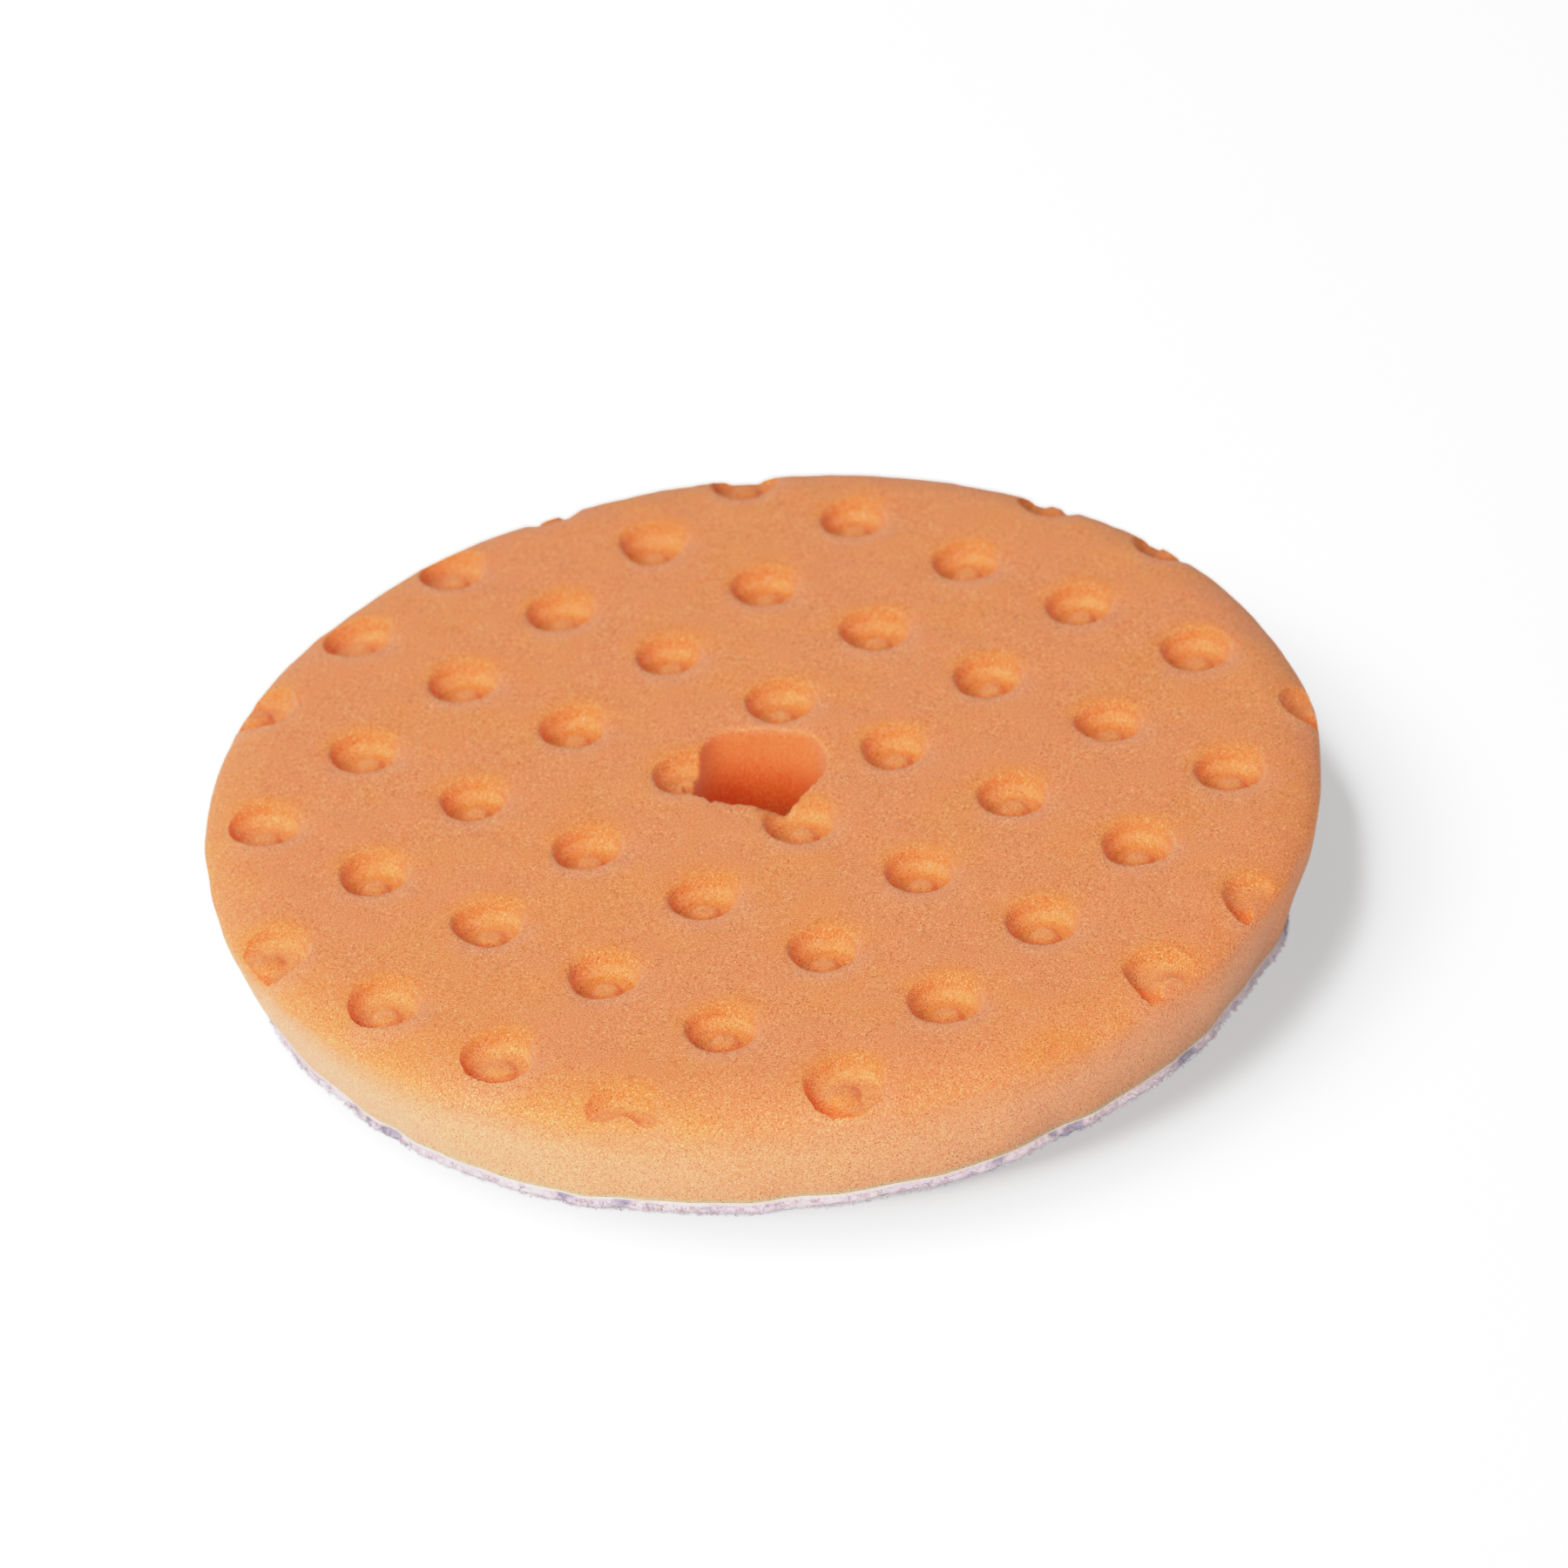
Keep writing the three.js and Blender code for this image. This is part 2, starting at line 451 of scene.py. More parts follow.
def tear_depth(plan):
    """A notch in the hole's edge, open towards the nearest pocket."""
    across = np.clip(1 - np.abs(azimuth_from(plan, TEAR_DIRECTION)) / TEAR_SPREAD, 0, 1)
    near = smooth((TEAR_REACH - plan_radius(plan)) / TEAR_FADE)
    return TEAR_DEPTH * across**TEAR_SHARPNESS * near


def corner_depth(plan):
    """The sliver between the hole and the pocket beside it, which was cut away."""
    inside = smooth((CORNER_DISTANCE - plan @ np.array(CORNER_NORMAL)) / CORNER_SLOPE)
    near = smooth((TEAR_REACH - plan_radius(plan)) / TEAR_FADE) * (plan[:, 1] < 0)
    return CORNER_DEPTH * inside * near * smooth((CORNER_END - plan[:, 0]) / TEAR_FADE)


def face_depth(pockets, plan):
    """How far the foam's face is cut or pressed in under each plan point."""
    depth = np.maximum(tear_depth(plan), corner_depth(plan))
    for pocket in pockets:
        near = plan_radius(plan - pocket["centre"]) < POCKET_RADIUS * pocket["scale"]
        depth[near] = np.maximum(depth[near], pocket_depth(pocket, plan[near]))
    return depth


def pocket_points(pocket):
    """Plan points in rings about a pocket, close enough together to carry its shape."""
    button = [(radius, WALL_STEP) for radius in BUTTON_RINGS * BUTTON_RADIUS]
    floor = [(radius, FLOOR_STEP) for radius in FLOOR_RINGS]
    rings = [np.zeros((1, 2))]
    for radius, step in button + floor:
        rings.append(circle(radius, round(2 * math.pi * radius / step)))
    for share in WALL_RINGS:
        rings.append(wall_ring(share, FLOOR_RADIUS, WALL_STEP))
    for share in FUNNEL_RINGS:
        rings.append(wall_ring(share, POCKET_RADIUS + FUNNEL_MARGIN, FLOOR_STEP))
    return np.vstack(rings) * pocket["scale"] + pocket["centre"]


def wall_ring(share, end, step):
    """A ring part of the way from an end radius to the top of the wall."""
    count = round(2 * math.pi * (end + (WALL_TOP_RADIUS - end) * share) / step)
    ring = circle(1, count)
    return ring * (end + (wall_top(np.arctan2(ring[:, 1], ring[:, 0])) - end) * share)[:, None]


def rim_cut_points(pocket):
    """Plan points along the line where a pocket breaks through the rounded edge."""
    reach = POCKET_RADIUS * pocket["scale"]
    if np.hypot(*pocket["centre"]) < FLAT_RADIUS - reach:
        return np.empty((0, 2))
    steps = np.linspace(0, reach, CUT_STEPS)
    found = []
    for direction in circle(1, CUT_DIRECTIONS):
        plan = pocket["centre"] + steps[:, None] * direction
        radius = plan_radius(plan)
        gap = shoulder_height(radius) - (FACE_HEIGHT - pocket_depth(pocket, plan))
        for k in np.flatnonzero((gap[:-1] * gap[1:] < 0) & (radius[1:] < PAD_RADIUS)):
            share = gap[k] / (gap[k] - gap[k + 1])
            found.append(plan[k] + share * (plan[k + 1] - plan[k]))
    return np.array(found).reshape(-1, 2)


def thin_out(points, step):
    """Drops points that crowd an earlier one."""
    kept, cells = [], {}
    for point in points:
        cell = (math.floor(point[0] / step), math.floor(point[1] / step))
        around = [cells.get((cell[0] + i, cell[1] + j), ()) for i in (-1, 0, 1) for j in (-1, 0, 1)]
        if all(math.dist(point, other) >= step for group in around for other in group):
            cells.setdefault(cell, []).append(tuple(point))
            kept.append(point)
    return np.array(kept)


def foam_plan_points(pockets):
    """The unrolled points between the hole and the widest part of the foam."""
    cuts = unroll(np.vstack([rim_cut_points(p) for p in pockets]))
    lips = np.vstack([circle(HOLE_RADIUS + HOLE_LIP * share, HOLE_COLUMNS) for share in LIP_RINGS])
    rings = np.vstack([pocket_points(p) for p in pockets])
    radius = plan_radius(rings)
    rings = rings[(radius > HOLE_RADIUS + RING_GAP) & (radius < PAD_RADIUS - CUT_MARGIN)]
    flat = hexagonal(FLAT_RADIUS, FLAT_STEP)
    spots = np.array([p["centre"] for p in pockets])
    nearest = np.min(np.hypot(*(flat[:, None] - spots[None]).transpose(2, 0, 1)), axis=1)
    flat = flat[(nearest > POCKET_RADIUS + FLAT_GAP) & (plan_radius(flat) > HOLE_RADIUS + FLAT_GAP)]
    band = hexagonal(UNROLLED_RADIUS - BAND_GAP, SHOULDER_STEP)
    band = band[plan_radius(band) > FLAT_RADIUS - BAND_OVERLAP]
    crowd = np.vstack([unroll(rings), band, flat])
    radius = plan_radius(crowd)
    crowd = crowd[(radius < UNROLLED_RADIUS - RIM_GAP) & (radius > HOLE_RADIUS + LIP_GAP)]
    return thin_out(np.vstack([thin_out(cuts, CUT_GAP), lips, crowd]), POINT_GAP)


def foam_surface(pockets, unrolled_plan):
    """Places unrolled points on the foam's top."""
    unrolled = plan_radius(unrolled_plan)
    radius, edge = shoulder(unrolled)
    plan = unrolled_plan * (radius / unrolled)[:, None]
    carved = FACE_HEIGHT - face_depth(pockets, plan)
    height = np.minimum(edge, carved)
    lip = np.clip(1 - (radius - HOLE_RADIUS) / HOLE_LIP, 0, 1)
    height -= HOLE_LIP * (1 - np.sqrt(1 - lip**2))
    return np.column_stack([plan, height])


def pocket_side(pockets, points, towards):
    """Positive on the side of each pocket that lies towards a direction, negative on the other, 0 away."""
    total = np.zeros(len(points))
    for pocket in pockets:
        offset = points[:, :2] - pocket["centre"]
        reach = plan_radius(offset)
        fade = np.exp(-(np.clip(reach - WALL_TOP_RADIUS, 0, None) / GLOW_FADE) ** 2)
        total += fade * np.clip(offset @ np.array(towards) / WALL_TOP_RADIUS, -1, 1)
    return np.clip(total, -1, 1)


def pocket_share(pockets, points):
    """0 where the foam is uncut, up to 1 at the bottom of a pocket."""
    radius = plan_radius(points)
    depth = face_depth(pockets, points[:, :2])
    floor = FACE_HEIGHT - depth
    carved = (floor < shoulder_height(radius)) & (points[:, 2] > floor - HOLE_LIP - PAINT_MARGIN)
    loss = RIM_PAINT_LOSS + FAR_PAINT_LOSS * smooth(points[:, 1] / FAR_PAINT_FADE)
    loss *= smooth((radius - FLAT_RADIUS) / RIM_PAINT_FADE)
    return np.where(carved, depth / POCKET_DEPTH * (1 - loss), 0)


def build_foam(material):
    pockets = pocket_grid()
    hole = circle(HOLE_RADIUS, HOLE_COLUMNS)
    rim = circle(UNROLLED_RADIUS, RIM_COLUMNS)
    plan, faces = fill_ring(hole, rim, foam_plan_points(pockets))
    top = foam_surface(pockets, plan), faces
    rim_top = foam_surface(pockets, rim)
    foot = at_height(circle(BACKING_RADIUS, RIM_COLUMNS), FOAM_BOTTOM)
    rows = []
    for share in np.linspace(0, 1, SIDE_ROWS + 1):
        lean = share**SIDE_BELLY
        rows.append(rim_top + (foot - rim_top) * (lean, lean, share))
    side = wall(rows)
    mouth = foam_surface(pockets, hole)
    hole_foot = at_height(hole, FOAM_BOTTOM)
    shares = np.linspace(0, 1, HOLE_ROWS + 1)
    bore = flipped(wall([mouth + (hole_foot - mouth) * share for share in shares]))
    under_plan, under_faces = fill_ring(hole, foot[:, :2], np.empty((0, 2)))
    under = flipped((at_height(under_plan, FOAM_BOTTOM), under_faces))
    points, faces = weld([top, side, bore, under])
    foam = add_piece("foam_disc_soft", roughened(points), faces, material)
    paint_foam(foam, pockets, points)
    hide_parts("foam_disc")
    return foam


def paint_foam(foam, pockets, points):
    """The shares and sides that the foam's material takes its colours from, with glow and lit placing the
    painted light, sheen and shade about each pocket.
    """
    radius, height = plan_radius(points), points[:, 2]
    side = smooth(ramp(height, *SIDE_PAINT_HEIGHTS)) * (radius > SIDE_PAINT_RADIUS)
    bore = ramp(height, FACE_HEIGHT, FACE_HEIGHT - BORE_PAINT_DEPTH) * (radius < HOLE_RADIUS + PAINT_MARGIN)
    add_attribute(foam, "pocket", pocket_share(pockets, points))
    add_attribute(foam, "side", side)
    add_attribute(foam, "glow", pocket_side(pockets, points, GLOW_TOWARDS))
    add_attribute(foam, "lit", pocket_side(pockets, points, LIT_TOWARDS))
    add_attribute(foam, "bore", bore)


# ---------------------------------------------------------------- backing

# The loops at the pile's edge.
LOOP_COUNT = 3600
LOOP_JOINTS = 8
LOOP_SIDES = 3
LOOP_THICKNESS = 0.045
LOOP_ROOTS = (-0.15, 0.12)  # out from the backing's radius
LOOP_HEIGHTS = (0.2, CLOTH_BOTTOM + 0.15)
LOOP_LEAN = (-0.5, 0.5)  # the middle and the spread, in radians from level
LOOP_REACH = (0.2, 0.55)
LOOP_SPREAD = (-0.9, 0.9)
LOOP_RISE = (-0.35, 0.35)
LOOP_LOWEST = 0.06
LOOP_CREASE_DEGREES = 180
TUBE_ACROSS = (0.3, 0.2, 0.93)  # a direction that no tube runs along


def layer_rows(bottom, top, outset, bulge):
    """Loops down the outer edge of a thin layer whose edge bulges a little."""
    loops = []
    for share in np.linspace(0, 1, LAYER_ROWS + 1):
        radius = BACKING_RADIUS + outset + bulge * math.sin(math.pi * share)
        loops.append(at_height(circle(radius, RIM_COLUMNS), top + (bottom - top) * share))
    return loops


def build_layer(node, heights, outset, bulge, material, lumpy=False):
    """A flat ring layer whose edge follows the foot of the foam."""
    bottom, top = heights
    rows = layer_rows(bottom, top, outset, bulge)
    hole = circle(HOLE_RADIUS, HOLE_COLUMNS)
    inside = np.empty((0, 2))
    if lumpy:
        inside = hexagonal(BACKING_RADIUS - PILE_GAP, PILE_STEP)
        inside = inside[plan_radius(inside) > HOLE_RADIUS + PILE_GAP]
    lid_plan, lid_faces = fill_ring(hole, rows[0][:, :2], np.empty((0, 2)))
    floor_plan, floor_faces = fill_ring(hole, rows[-1][:, :2], inside)
    lid = at_height(lid_plan, top), lid_faces
    floor = flipped((at_height(floor_plan, bottom), floor_faces))
    bore = flipped(wall([at_height(hole, top), at_height(hole, bottom)]))
    points, faces = weld([lid, wall(rows), floor, bore])
    stray = foot_wobble(points)
    lift = np.zeros(len(points))
    if lumpy:
        stray += waves(points, PILE_WAVES, PILE_SEED)
        tufts = np.clip(TUFT_LIFT + waves(points, TUFT_WAVES, TUFT_SEED), 0, TUFT_LIMIT)
        lift = tufts * ramp(points[:, 2], top, bottom)
    rim = ramp(plan_radius(points), BACKING_RADIUS - BACKING_BLEND, BACKING_RADIUS)
    moved = points + outward(points) * (rim * stray)[:, None]
    moved[:, 2] += lift
    piece = add_piece(node + "_soft", moved, faces, material)
    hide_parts(node)
    return piece


def build_edge_loops(material):
    """Fine nylon loops standing out of the pile all round its edge."""
    draw = np.random.default_rng(SEED + 30)
    angle = draw.uniform(0, 2 * math.pi, LOOP_COUNT)
    out = np.column_stack([np.cos(angle), np.sin(angle), np.zeros(LOOP_COUNT)])
    tangent = np.column_stack([-np.sin(angle), np.cos(angle), np.zeros(LOOP_COUNT)])
    base = out * (BACKING_RADIUS + draw.uniform(*LOOP_ROOTS, LOOP_COUNT))[:, None]
    base[:, 2] = draw.uniform(*LOOP_HEIGHTS, LOOP_COUNT)
    base += out * foot_wobble(base)[:, None]
    lean = draw.normal(*LOOP_LEAN, LOOP_COUNT)
    stand = out * np.cos(lean)[:, None] + np.array([0, 0, 1]) * np.sin(lean)[:, None]
    reach = draw.uniform(*LOOP_REACH, LOOP_COUNT)
    spread = draw.uniform(*LOOP_SPREAD, LOOP_COUNT)
    rise = draw.uniform(*LOOP_RISE, LOOP_COUNT)
    along = np.linspace(0, 1, LOOP_JOINTS)
    paths = base[:, None] + stand[:, None] * (reach[:, None] * np.sin(math.pi * along))[:, :, None]
    paths += tangent[:, None] * (spread[:, None] * (along - 0.5))[:, :, None]
    paths[:, :, 2] += rise[:, None] * (along - 0.5)
    paths[:, :, 2] = np.clip(paths[:, :, 2], LOOP_LOWEST, CLOTH_TOP)
    points, faces = tubes(paths, LOOP_THICKNESS, LOOP_SIDES)
    return add_piece("pile_edge_loops", points, faces, material, LOOP_CREASE_DEGREES)


def tubes(paths, thickness, sides):
    """A closed tube along each path."""
    count, joints = paths.shape[:2]
    ahead = np.gradient(paths, axis=1)
    ahead /= np.linalg.norm(ahead, axis=2, keepdims=True) + 1e-12
    across = np.cross(ahead, TUBE_ACROSS)
    across /= np.linalg.norm(across, axis=2, keepdims=True) + 1e-12
    upward = np.cross(across, ahead)
    rings = []
    for side in range(sides):
        angle = 2 * math.pi * side / sides
        rings.append(paths + thickness * (math.cos(angle) * across + math.sin(angle) * upward))
    points = np.stack(rings, axis=2).reshape(-1, 3)
    faces = []
    for path in range(count):
        start = path * joints * sides
        for joint in range(joints - 1):
            low = start + joint * sides
            for side in range(sides):
                after = (side + 1) % sides
                faces.append((low + side, low + after, low + sides + after, low + sides + side))
        faces.append(tuple(start + side for side in range(sides))[::-1])
        faces.append(tuple(start + (joints - 1) * sides + side for side in range(sides)))
    return points, faces


# ---------------------------------------------------------------- materials

class Shader:
    """A short way to write a node material."""

    def __init__(self, name):
        self.material = bpy.data.materials.new(name)
        self.material.use_nodes = True
        self.nodes = self.material.node_tree.nodes
        self.links = self.material.node_tree.links
        self.surface = self.nodes["Principled BSDF"]

    def add(self, kind, settings=None, **inputs):
        node = self.nodes.new("ShaderNode" + kind)
        for name, value in (settings or {}).items():
            setattr(node, name, value)
        for name, value in inputs.items():
            self.plug(node, name.replace("_", " "), value)
        return node

    def plug(self, node, name, value):
        socket = node.inputs[name]
        if isinstance(value, bpy.types.NodeSocket):
            self.links.new(value, socket)
        else:
            socket.default_value = value

    def place(self):
        return self.add("TexCoord").outputs["Object"]

    def noise(self, wavelength, detail=2.0, roughness=0.5, stretch=None):
        """Noise whose features are about one wavelength, in mm, apart."""
        place = self.place()
        if stretch:
            place = self.add("Mapping", Vector=place, Scale=stretch).outputs["Vector"]
        node = self.add("TexNoise", Vector=place, Detail=detail, Roughness=roughness)
        node.inputs["Scale"].default_value = 1 / (wavelength * MM)
        return node.outputs["Fac"]

    def range(self, value, low, high, to_low=0.0, to_high=1.0):
        """Takes the numbers from low to high smoothly to those from to_low to to_high."""
        node = self.add("MapRange", {"interpolation_type": "SMOOTHSTEP"}, Value=value)
        limits = {"From Min": low, "From Max": high, "To Min": to_low, "To Max": to_high}
        for name, number in limits.items():
            node.inputs[name].default_value = number
        return node.outputs["Result"]

    def between(self, share, first, second):
        """A number part of the way from a first to a second."""
        node = self.add("MapRange", Value=share)
        node.inputs["To Min"].default_value = first
        node.inputs["To Max"].default_value = second
        return node.outputs["Result"]

    def mix(self, share, first, second):
        node = self.add("Mix", {"data_type": "RGBA"})
        self.plug(node, 0, share)
        self.plug(node, 6, first)
        self.plug(node, 7, second)
        return node.outputs[2]

    def attribute(self, name):
        return self.add("Attribute", {"attribute_name": name}).outputs["Fac"]

    def bump(self, height, distance, strength):
        node = self.add("Bump", Height=height, Distance=distance * MM, Strength=strength)
        return node.outputs["Normal"]


def linear(red, green, blue):
    """A colour given as 0 to 255 screen values, as the linear values a shader takes."""
    def one(value):
        share = value / 255
        return share / 12.92 if share <= 0.04045 else ((share + 0.055) / 1.055) ** 2.4
    return (one(red), one(green), one(blue), 1.0)


# Foam colours, with light and shade painted in: the face is painted yellower beyond a pocket and
# given a pink painted sheen before it; the wall, ledge and floor come in lit and shaded copies, the
# shade a deep orange standing in for light scattered inside the foam; the side is painted paler on
# the lit left, and there is painted shade deep in the hole.
SKIN, SKIN_YELLOWER = linear(231, 139, 87), linear(232, 141, 78)
# Painted light beyond a pocket, and a painted sheen before it.
BEYOND_POCKET_GLOW, BEFORE_POCKET_SHEEN = linear(231, 138, 71), linear(230, 144, 97)
# The lip: painted deeper orange on the far side, and a painted pale sheen on the near side.
FAR_LIP, NEAR_LIP_SHEEN = linear(220, 129, 64), linear(230, 142, 92)
# Lit and shaded copies of the pocket's wall, ledge and floor; the deepest painted shade is on the wall
# facing away from the light.
WALL_DEEPEST_SHADE, WALL_SHADED, WALL_LIT = linear(246, 98, 18), linear(255, 116, 30), linear(227, 130, 64)
LEDGE_LIT = linear(244, 151, 86)
FLOOR_SHADED, FLOOR_LIT = linear(250, 118, 36), linear(242, 147, 73)
# The side: painted paler on its lit left and deeper orange on its shaded right.
SIDE_LIT_LEFT, SIDE_MIDDLE, SIDE_SHADED_RIGHT = linear(253, 170, 124), linear(251, 157, 106), linear(238, 128, 66)
# Painted shade deep in the hole, redder on its left.
BORE_TOP, BORE_SHADE_LEFT, BORE_SHADE_RIGHT = linear(231, 132, 70), linear(250, 84, 8), linear(236, 102, 32)
FOAM_FOOT = linear(252, 205, 172)
CELL_RIMS = {"face": linear(255, 188, 138), "side": linear(255, 206, 162), "bore": linear(240, 154, 94)}
CELL_PITS = {"face": linear(164, 90, 52), "side": linear(128, 72, 42), "bore": linear(206, 94, 40)}
SPECK = linear(255, 215, 180)
FOAM_SHEEN = (1.0, 0.85, 0.82, 1.0)
SCATTER_RATIOS = (1.0, 0.22, 0.12)  # how far red, green and blue light travel in the foam
SCATTER_REACH = 5
CELL_SIZE = 0.24
SPECK_SIZE = 0.75
MOTTLE_SIZE = 16
FOOT_BAND = 1.2

# Backing colours.
FILM_PALE, FILM_WARM = linear(246, 214, 190), linear(240, 198, 166)
NYLON, NYLON_LILAC, NYLON_PINK = linear(238, 218, 222), linear(220, 200, 210), linear(206, 180, 190)
SMUDGE = linear(146, 138, 160)


def skin_colour(s):
    """The foam's face: mottled, painted yellower beyond each pocket and given a painted pink sheen before
    it.
    """
    skin = s.mix(s.range(s.noise(MOTTLE_SIZE, 3), 0.35, 0.65), SKIN, SKIN_YELLOWER)
    around = s.attribute("glow")
    skin = s.mix(s.range(around, 0.0, 0.7), skin, BEYOND_POCKET_GLOW)
    return s.mix(s.range(around, 0.0, -0.7), skin, BEFORE_POCKET_SHEEN)


def add_pocket_colour(s, colour):
    """Down a pocket: its lip, its wall, the ledge on the wall, and its floor, in painted light on the lit
    side and painted shade on the other.
    """
    # The lip is painted deeper orange on the far side and given a painted sheen on the near side.
    lip = s.mix(s.range(s.attribute("glow"), -0.3, 0.6), NEAR_LIP_SHEEN, FAR_LIP)
    light = s.attribute("lit")
    lit = s.range(light, -0.6, -0.2)
    shaded = s.mix(s.range(light, -1.0, -0.6), WALL_DEEPEST_SHADE, WALL_SHADED)
    depth = s.attribute("pocket")
    colour = s.mix(s.range(depth, 0.0, 0.07), colour, lip)
    colour = s.mix(s.range(depth, 0.08, 0.3), colour, s.mix(lit, shaded, WALL_LIT))
    colour = s.mix(s.range(depth, 0.35, 0.66), colour, s.mix(lit, shaded, LEDGE_LIT))
    return s.mix(s.range(depth, 0.8, 0.97), colour, s.mix(lit, FLOOR_SHADED, FLOOR_LIT))


def add_side_colour(s, colour, across):
    # Painted light on the left of the side and painted shade on its right.
    side = s.mix(s.range(across, -60 * MM, 10 * MM), SIDE_LIT_LEFT, SIDE_MIDDLE)
    side = s.mix(s.range(across, 60 * MM, 78 * MM), side, SIDE_SHADED_RIGHT)
    return s.mix(s.attribute("side"), colour, side)


def add_bore_colour(s, colour, across):
    bore = s.attribute("bore")
    # Painted shade deep in the hole, redder on its left.
    deep = s.mix(s.range(across, -9 * MM, 2 * MM), BORE_SHADE_LEFT, BORE_SHADE_RIGHT)
    colour = s.mix(s.range(bore, 0, 0.15), colour, BORE_TOP)
    return s.mix(s.range(bore, 0.2, 1.0), colour, deep)


def add_cells(s, colour, cells):
    """The open cells: pale rims and dark pits, and here and there a bright speck."""
    side = s.attribute("side")
    inside = s.range(s.attribute("bore"), 0, 0.1)
    rims, pits = (
        s.mix(inside, s.mix(side, tones["face"], tones["side"]), tones["bore"])
        for tones in (CELL_RIMS, CELL_PITS)
    )
    colour = s.mix(s.range(cells, 0.5, 0.79), colour, rims)
    colour = s.mix(s.range(cells, 0.5, 0.21), colour, pits)
    specks = s.range(s.noise(SPECK_SIZE, 2, 0.6), 0.72, 0.77, 0, 0.3)
    return s.mix(specks, colour, SPECK)


def foam_material():
    s = Shader("orange_foam")
    place = s.add("SeparateXYZ", Vector=s.place()).outputs
    cells = s.noise(CELL_SIZE, 1, 0.6)
    colour = add_pocket_colour(s, skin_colour(s))
    colour = add_side_colour(s, colour, place["X"])
    colour = add_bore_colour(s, colour, place["X"])
    foot = s.range(place["Z"], (FOAM_BOTTOM + FOOT_BAND) * MM, FOAM_BOTTOM * MM, 0, 0.6)
    colour = add_cells(s, s.mix(foot, colour, FOAM_FOOT), cells)
    s.plug(s.surface, "Base Color", colour)
    s.plug(s.surface, "Roughness", 0.95)
    s.plug(s.surface, "Specular IOR Level", 0.15)
    s.plug(s.surface, "Subsurface Weight", 0.7)
    s.plug(s.surface, "Subsurface Radius", SCATTER_RATIOS)
    s.plug(s.surface, "Subsurface Scale", SCATTER_REACH * MM)
    s.plug(s.surface, "Sheen Weight", 0.2)
    s.plug(s.surface, "Sheen Roughness", 0.4)
    s.plug(s.surface, "Sheen Tint", FOAM_SHEEN)
    s.plug(s.surface, "Normal", s.bump(cells, 0.12, 0.7))
    return s.material


def film_material():
    s = Shader("bond_film")
    s.plug(s.surface, "Base Color", s.mix(s.range(s.noise(2.5, 3), 0.35, 0.65), FILM_PALE, FILM_WARM))
    s.plug(s.surface, "Roughness", 0.5)
    s.plug(s.surface, "Subsurface Weight", 0.2)
    s.plug(s.surface, "Subsurface Scale", 0.5 * MM)
    s.plug(s.surface, "Normal", s.bump(s.noise(0.6, 2), 0.05, 0.5))
    return s.material


def fabric_colour(s):
    """Off-white nylon with faint pink and lilac patches and a few grey smudges."""
    colour = s.mix(s.range(s.noise(9, 2), 0.35, 0.65), NYLON, NYLON_LILAC)
    streak = s.noise(0.7, 3, 0.6, (1.0, 1.0, 0.35))
    colour = s.mix(s.range(streak, 0.35, 0.7, 0.3, 0.0), colour, NYLON_PINK)
    smudges = s.range(s.noise(8, 3, 0.55), 0.54, 0.64, 0.0, 0.8)
    return s.mix(smudges, colour, SMUDGE)


def cloth_material():
    s = Shader("knit_cloth")
    s.plug(s.surface, "Base Color", fabric_colour(s))
    s.plug(s.surface, "Roughness", 0.9)
    rib = s.add("TexWave", {"bands_direction": "X"}, Vector=s.place(), Scale=1 / (3.2 * MM), Distortion=1.5)
    s.plug(s.surface, "Normal", s.bump(rib.outputs["Fac"], 0.12, 0.6))
    return s.material


def pile_material():
    s = Shader("loop_pile_nylon")
    s.plug(s.surface, "Base Color", fabric_colour(s))
    s.plug(s.surface, "Roughness", 0.85)
    s.plug(s.surface, "Sheen Weight", 0.4)
    s.plug(s.surface, "Subsurface Weight", 0.15)
    s.plug(s.surface, "Subsurface Scale", 0.6 * MM)
    s.plug(s.surface, "Normal", s.bump(s.noise(0.45, 4, 0.7), 0.3, 0.9))
    return s.material


def floor_material():
    """A white floor that glows a little, and looks brighter than the light it gives back."""
    s = Shader("white_floor")
    seen = s.add("LightPath").outputs["Is Camera Ray"]
    s.plug(s.surface, "Base Color", s.between(seen, 0.05, 0.15))
    s.plug(s.surface, "Roughness", 0.9)
    s.plug(s.surface, "Specular IOR Level", 0.0)
    s.plug(s.surface, "Emission Color", (1, 1, 1, 1))
    s.plug(s.surface, "Emission Strength", s.between(seen, 0.25, 0.5))
    return s.material


# ---------------------------------------------------------------- studio

VIEW_DISTANCE = 981.7
VIEW_ELEVATION = math.radians(35.95)
VIEW_ROLL = math.radians(-6.1)
VIEW_PAN = math.radians(-0.2)
VIEW_TILT = math.radians(0.757)
LENS = 151.5
SENSOR_WIDTH = 36
APERTURE = 25
FOCUS_SHARE = 0.75  # of the way from the axis to the near rim
SOFTBOX_DISTANCE = 1.5  # this and the sizes below are in metres
SOFTBOX_SIZE = 0.7
WASH_SIZE = 1.2
FLOOR_HALF = 1.5
WORLD_LIGHT = 0.335
WORLD_SEEN = 2.2

# The softboxes that light the pad: azimuth from +X and elevation in degrees, and power in watts.
PAD_LIGHTS = {
    "front_left": (240, 30, 14.2),
    "front": (270, 30, 9.9),
    "overhead": (200, 60, 3.7),
    "back_left": (150, 48, 2.0),
    "left": (205, 18, 1.0),
}
FLOOR_WASH = (183, 57, 330)

# How bright each light level is shown; the first number of each pair is the level.
WHITE_LEVEL = 2.0
TONES = ((0.3, 0.3), (0.5, 0.5), (0.65, 0.64), (0.86, 0.78), (1.1, 0.855), (1.4, 0.9), (1.7, 0.95))


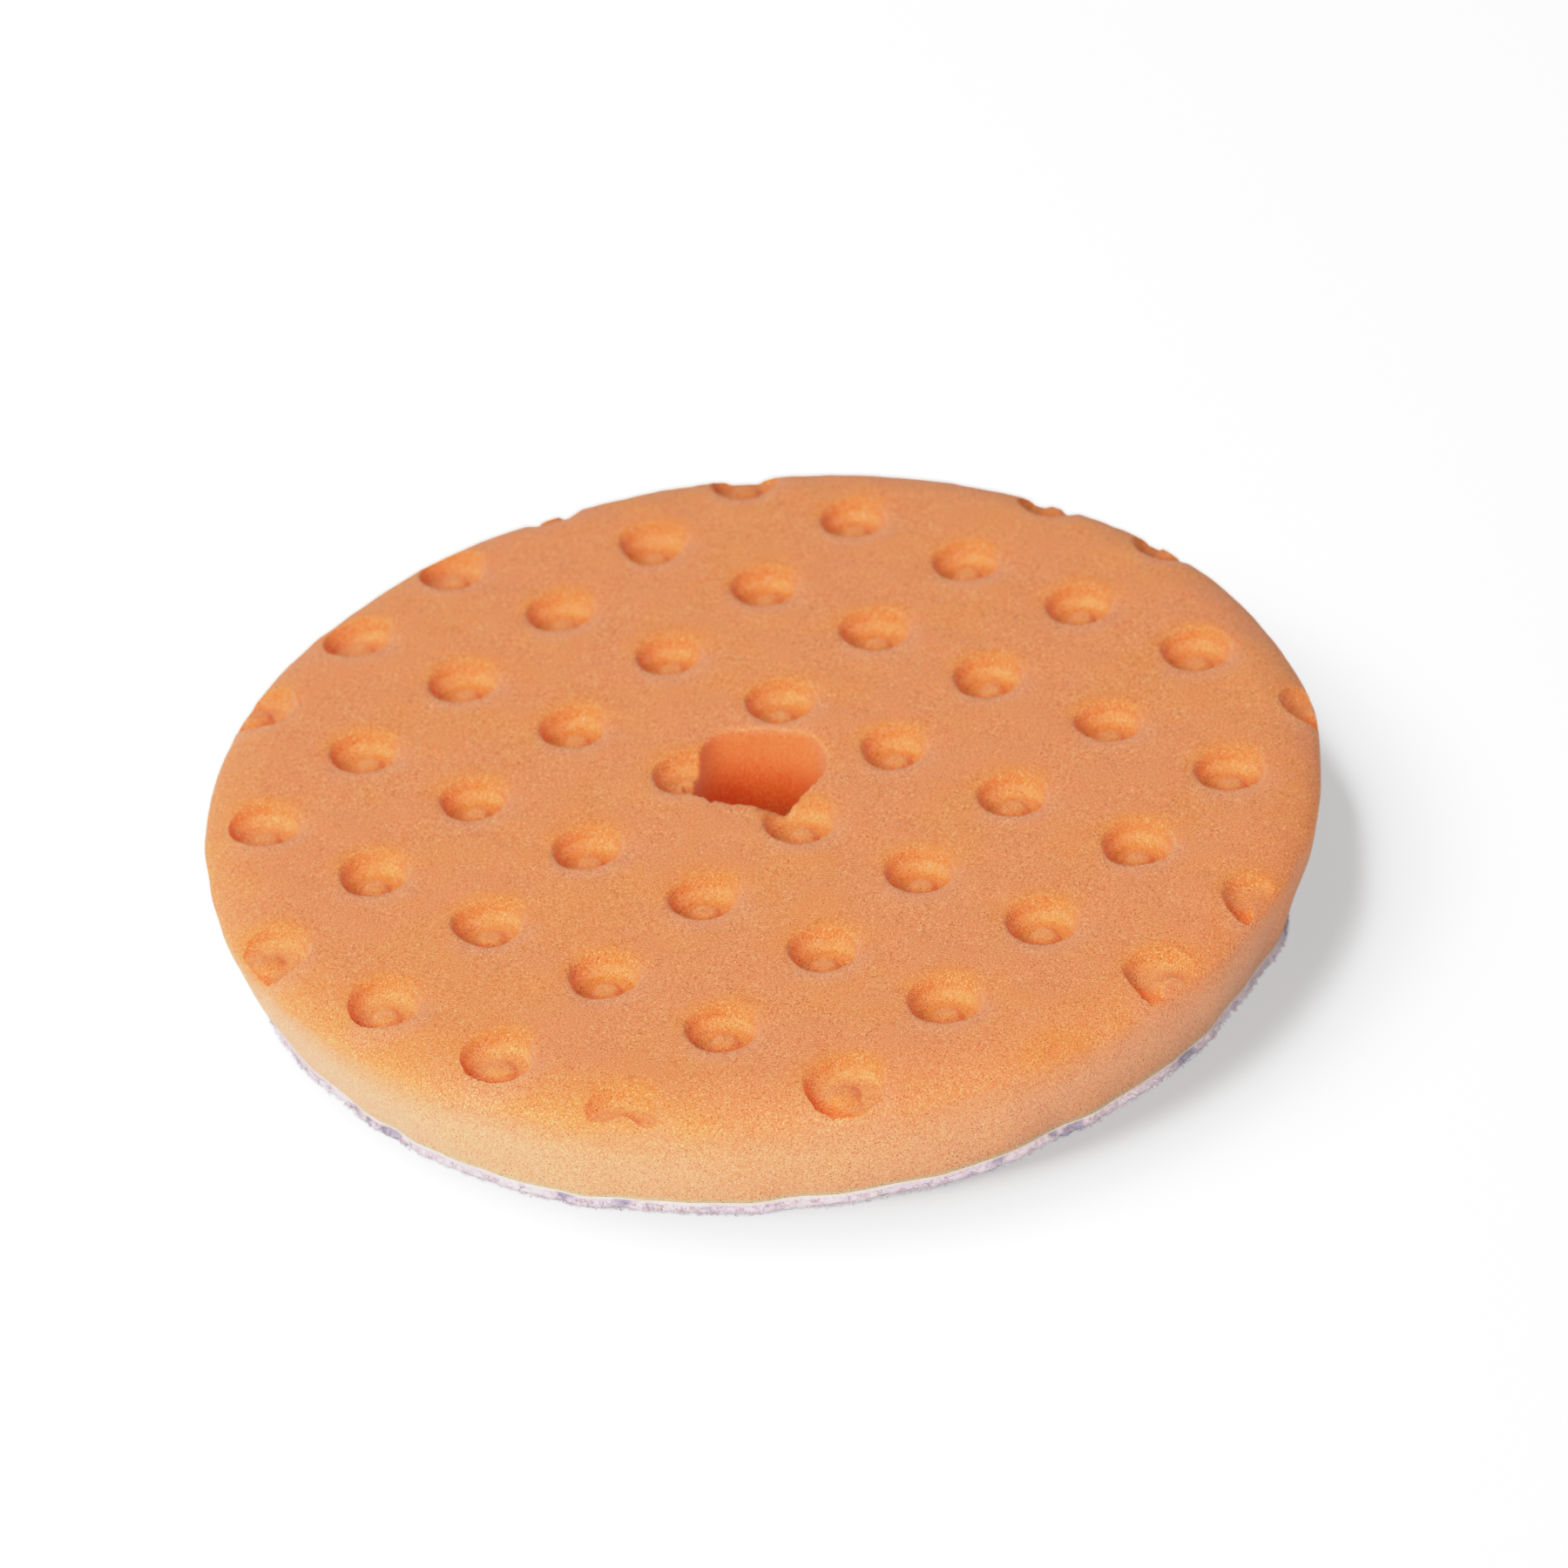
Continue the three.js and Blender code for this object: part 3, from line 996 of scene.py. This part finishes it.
def add_camera():
    data = bpy.data.cameras.new("camera")
    data.lens = LENS
    data.sensor_width = SENSOR_WIDTH
    data.clip_start = 0.05
    data.clip_end = 50
    camera = bpy.data.objects.new("camera", data)
    bpy.context.scene.collection.objects.link(camera)
    back = Vector((0, -math.cos(VIEW_ELEVATION), math.sin(VIEW_ELEVATION)))
    look = (-back).to_track_quat("-Z", "Y").to_matrix().to_4x4()
    pan = Matrix.Rotation(VIEW_PAN, 4, "Y")
    tilt = Matrix.Rotation(VIEW_TILT, 4, "X")
    roll = Matrix.Rotation(VIEW_ROLL, 4, "Z")
    spot = back * VIEW_DISTANCE * MM + Vector((0, 0, FOAM_BOTTOM * MM))
    camera.matrix_world = Matrix.Translation(spot) @ look @ (pan @ tilt @ roll)
    focus = bpy.data.objects.new("focus", None)
    focus.location = (0, -PAD_RADIUS * FOCUS_SHARE * MM, FACE_HEIGHT * MM)
    bpy.context.scene.collection.objects.link(focus)
    data.dof.use_dof = True
    data.dof.focus_object = focus
    data.dof.aperture_fstop = APERTURE
    bpy.context.scene.camera = camera


def add_softbox(name, azimuth, elevation, power, lit, size=SOFTBOX_SIZE):
    """A square soft light that faces the pad and lights only some objects; azimuth is from +X."""
    data = bpy.data.lights.new(name, "AREA")
    data.shape = "SQUARE"
    data.size = size
    data.energy = power
    light = bpy.data.objects.new(name, data)
    a, e = math.radians(azimuth), math.radians(elevation)
    back = Vector((math.cos(a) * math.cos(e), math.sin(a) * math.cos(e), math.sin(e)))
    light.location = back * SOFTBOX_DISTANCE
    light.rotation_mode = "QUATERNION"
    light.rotation_quaternion = (-back).to_track_quat("-Z", "Y")
    bpy.context.scene.collection.objects.link(light)
    light.light_linking.receiver_collection = lit
    return light


def collect(name, objects):
    group = bpy.data.collections.new(name)
    for one in objects:
        group.objects.link(one)
    return group


def add_floor():
    mesh = bpy.data.meshes.new("floor")
    corners = [(x * FLOOR_HALF, y * FLOOR_HALF, 0) for x, y in ((-1, -1), (1, -1), (1, 1), (-1, 1))]
    mesh.from_pydata(corners, [], [(0, 1, 2, 3)])
    mesh.materials.append(floor_material())
    floor = bpy.data.objects.new("floor", mesh)
    bpy.context.scene.collection.objects.link(floor)
    return floor


def add_world():
    """Soft light from all round, which looks white from the camera."""
    world = bpy.data.worlds.new("studio")
    world.use_nodes = True
    nodes, links = world.node_tree.nodes, world.node_tree.links
    backdrop = nodes["Background"]
    backdrop.inputs["Color"].default_value = (1, 1, 1, 1)
    seen = nodes.new("ShaderNodeLightPath").outputs["Is Camera Ray"]
    strength = nodes.new("ShaderNodeMapRange")
    strength.inputs["To Min"].default_value = WORLD_LIGHT
    strength.inputs["To Max"].default_value = WORLD_SEEN
    links.new(seen, strength.inputs["Value"])
    links.new(strength.outputs["Result"], backdrop.inputs["Strength"])
    bpy.context.scene.world = world


def add_studio(pieces):
    """A white floor with a soft shadow, and softboxes round the pad; the front ones are strongest."""
    floor = add_floor()
    add_world()
    pad = collect("pad_pieces", pieces)
    for name, (azimuth, elevation, power) in PAD_LIGHTS.items():
        add_softbox(name, azimuth, elevation, power, pad)
    add_softbox("floor_wash", *FLOOR_WASH, collect("stage", [floor]), WASH_SIZE)


def soften_highlights():
    """A film-like shoulder: bright foam keeps its hue, and the floor runs to white."""
    view = bpy.context.scene.view_settings
    view.view_transform = "Standard"
    view.use_curve_mapping = True
    view.curve_mapping.white_level = (WHITE_LEVEL,) * 3
    curve = view.curve_mapping.curves[3]
    for level, shown in TONES:
        curve.points.new(level / WHITE_LEVEL, shown)
    view.curve_mapping.update()


# ---------------------------------------------------------------- the pad

pile = pile_material()
pad_pieces = [
    build_foam(foam_material()),
    build_layer("adhesive_film", (FILM_BOTTOM, FILM_TOP), -0.02, 0.03, film_material()),
    build_layer("backing_cloth", (CLOTH_BOTTOM, CLOTH_TOP), -0.1, 0.05, cloth_material()),
    build_layer("loop_pile", (PILE_BOTTOM, PILE_TOP), -0.1, 0.2, pile, lumpy=True),
    build_edge_loops(pile),
]
add_studio(pad_pieces)
soften_highlights()
add_camera()
